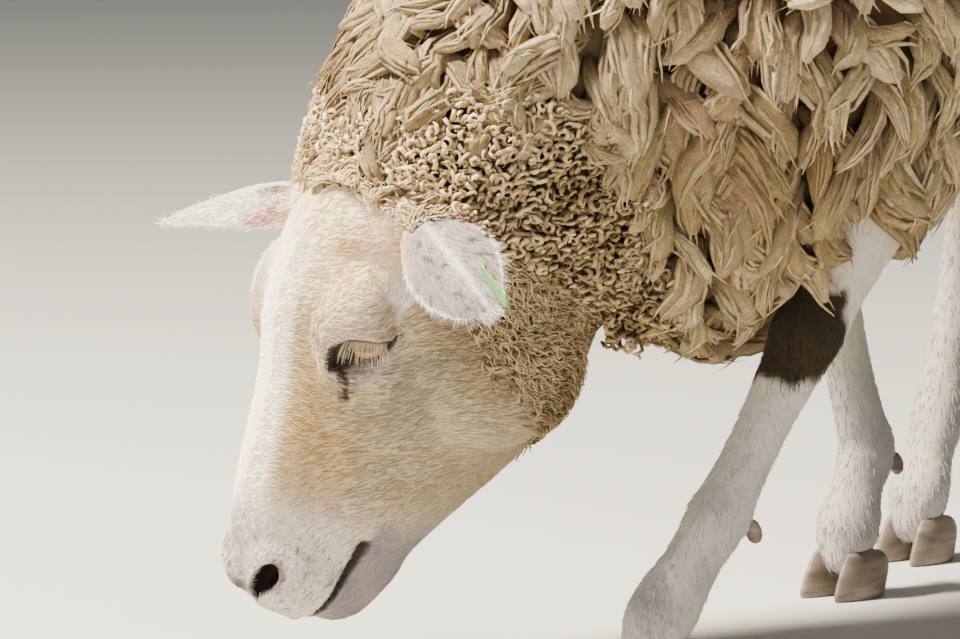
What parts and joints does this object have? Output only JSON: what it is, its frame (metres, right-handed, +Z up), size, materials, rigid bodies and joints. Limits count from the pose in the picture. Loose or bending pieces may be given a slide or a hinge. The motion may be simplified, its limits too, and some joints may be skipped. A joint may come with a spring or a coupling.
{
  "type": "sheep",
  "caption": "Life-size polled white-faced ewe in long shaggy fleece, grazing in mid-step with her head lowered, a plain tag in her left ear; a still figure.",
  "frame": {"origin": "on the ground, under the middle of the whole animal's box", "axes": "+Z up, -Y to the front of the animal, where it is walking, +X to its left side"},
  "size_m": [0.4926, 1.1268, 0.7627],
  "materials": {
    "fleece": "long matt wool in wavy pointed locks, cream at the tips and brown below",
    "short_hair": "short flat hair with a slight sheen",
    "ear_hair": "thin hair over pinkish grey spotted skin",
    "eyeball": "wet gloss, amber iris and a level dark pupil",
    "hoof_horn": "dull black horn with fine growth rings",
    "tag_plastic": "satin moulded plastic, slightly weathered"
  },
  "bodies": {
    "root": {"head": "short_hair", "neck": "fleece", "trunk": "fleece", "tail": "fleece", "ear_left": "ear_hair", "ear_right": "ear_hair", "eye_left": "eyeball", "eye_right": "eyeball", "ear_tag": "tag_plastic", "leg_front_left": "short_hair", "front_left_claw_inner": "hoof_horn", "front_left_claw_outer": "hoof_horn", "front_left_dewclaw_inner": "hoof_horn", "front_left_dewclaw_outer": "hoof_horn", "leg_front_right": "short_hair", "front_right_claw_inner": "hoof_horn", "front_right_claw_outer": "hoof_horn", "front_right_dewclaw_inner": "hoof_horn", "front_right_dewclaw_outer": "hoof_horn", "leg_hind_left": "short_hair", "hind_left_claw_inner": "hoof_horn", "hind_left_claw_outer": "hoof_horn", "hind_left_dewclaw_inner": "hoof_horn", "hind_left_dewclaw_outer": "hoof_horn", "leg_hind_right": "short_hair", "hind_right_claw_inner": "hoof_horn", "hind_right_claw_outer": "hoof_horn", "hind_right_dewclaw_inner": "hoof_horn", "hind_right_dewclaw_outer": "hoof_horn"}
  },
  "joints": []
}
